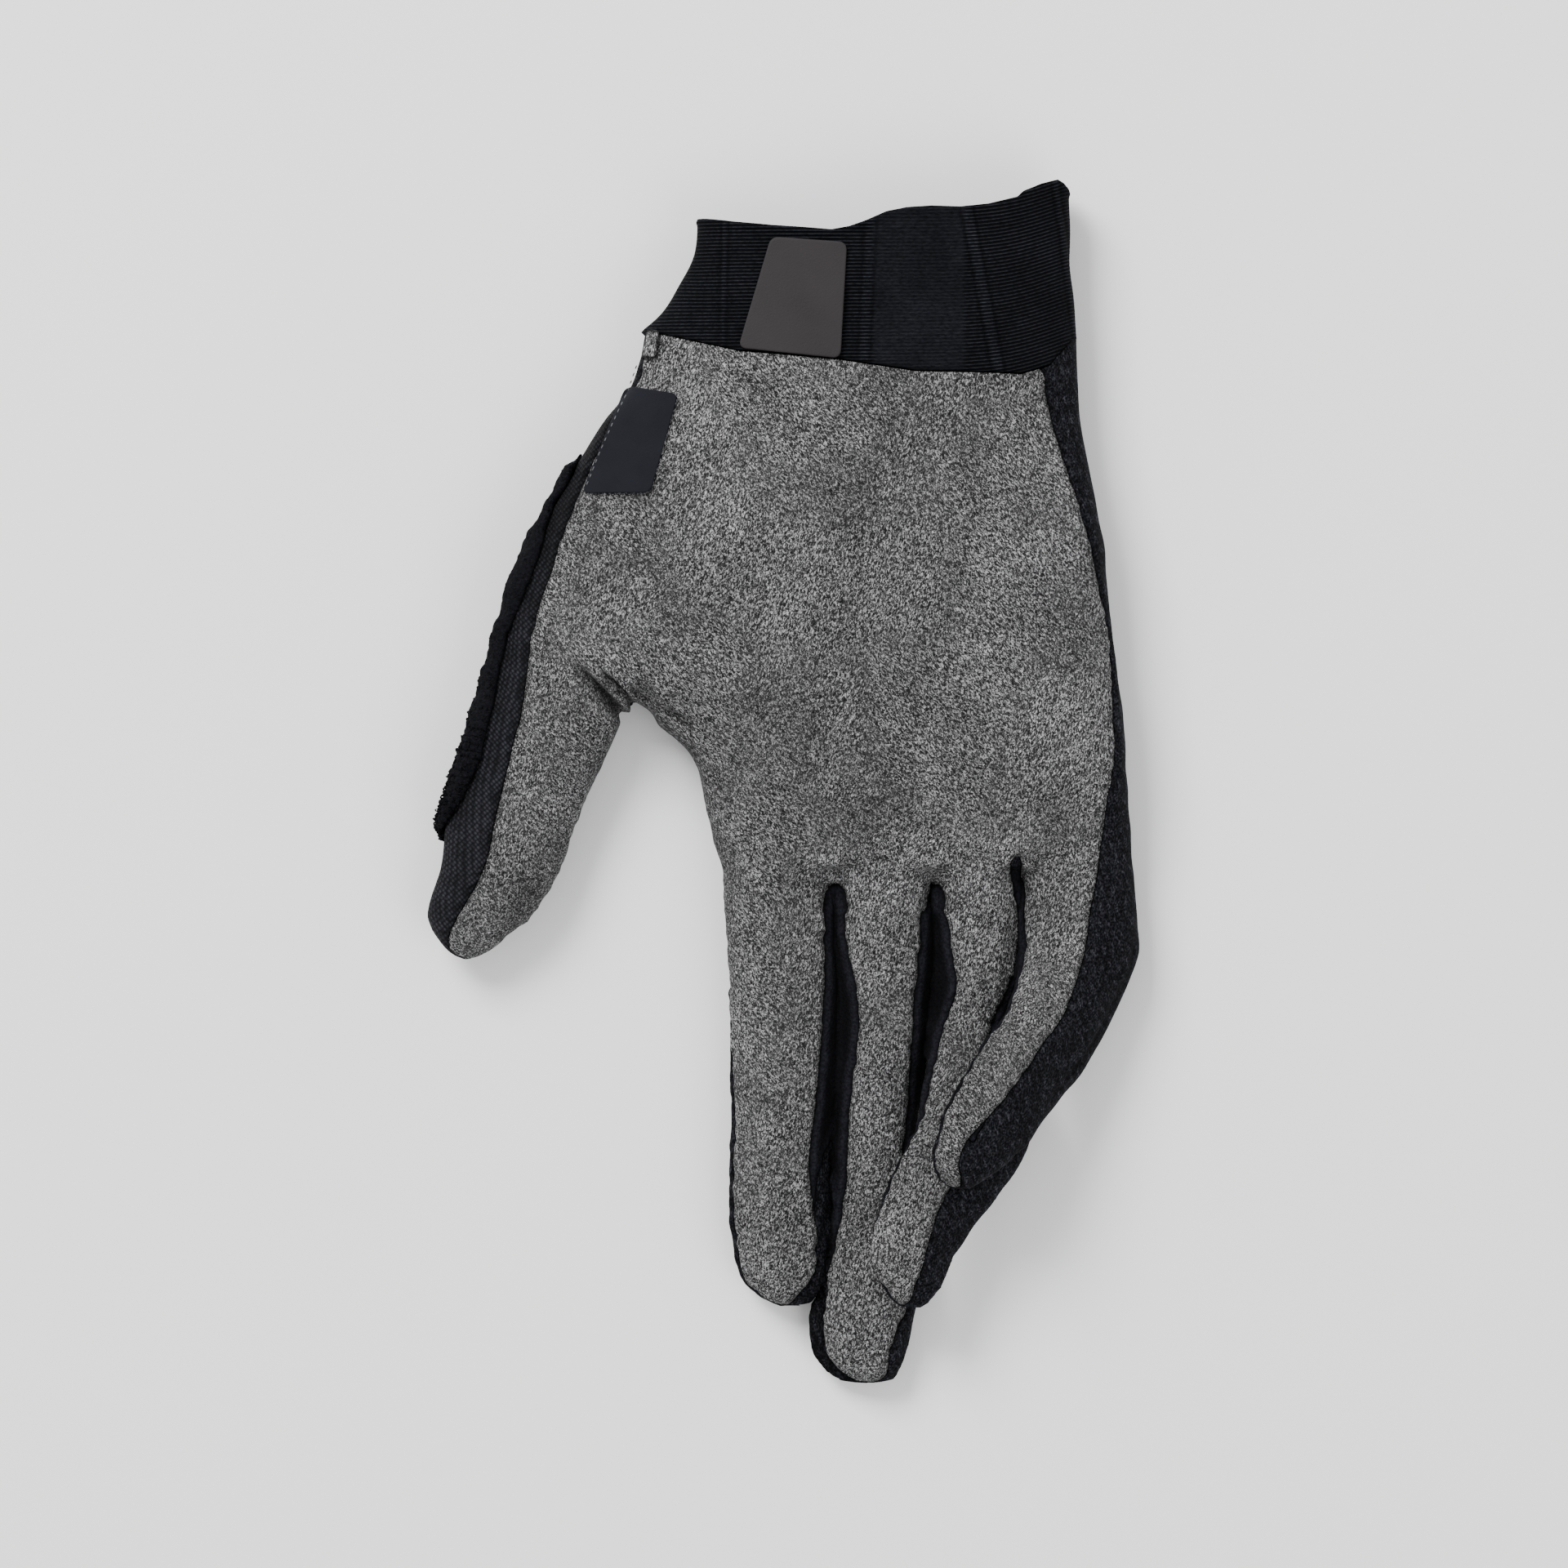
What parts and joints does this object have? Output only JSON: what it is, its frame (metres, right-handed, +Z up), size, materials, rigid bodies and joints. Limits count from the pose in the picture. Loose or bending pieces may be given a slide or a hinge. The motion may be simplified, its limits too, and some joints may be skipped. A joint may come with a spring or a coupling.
{
  "type": "mountain bike glove",
  "caption": "Right-hand full-finger cycling glove lying palm up, with a suede palm, ripple-knit back, fourchettes between the fingers, terry thumb strip and ribbed elastic slip-on cuff.",
  "frame": {"origin": "middle of the glove's box in plan, on the surface that it lies on", "axes": "+Y along the hand from the fingertips to the cuff, +X across the palm towards the little finger, +Z up out of the palm, with the glove lying on its back"},
  "size_m": [0.1388, 0.2364, 0.0288],
  "materials": {
    "suede": "matt grey synthetic suede with fine light flecks",
    "ripple_knit": "matt black knit with a fine ripple pattern",
    "side_knit": "matt black fine knit",
    "thumb_knit": "matt black piqué knit",
    "terry": "matt black terry with a frayed edge",
    "elastic": "matt black ribbed elastic knit",
    "patch_rubber": "satin brown-grey soft rubber",
    "dark_patch_rubber": "satin dark grey soft rubber"
  },
  "bodies": {
    "root": {"palm_panel": "suede", "back_panel": "ripple_knit", "fourchette_index": "side_knit", "fourchette_middle": "side_knit", "fourchette_ring": "side_knit", "thumb_back": "thumb_knit", "thumb_wipe": "terry", "cuff_band": "elastic", "cuff_patch": "patch_rubber", "palm_patch": "dark_patch_rubber", "side_tab": "suede"}
  },
  "joints": []
}
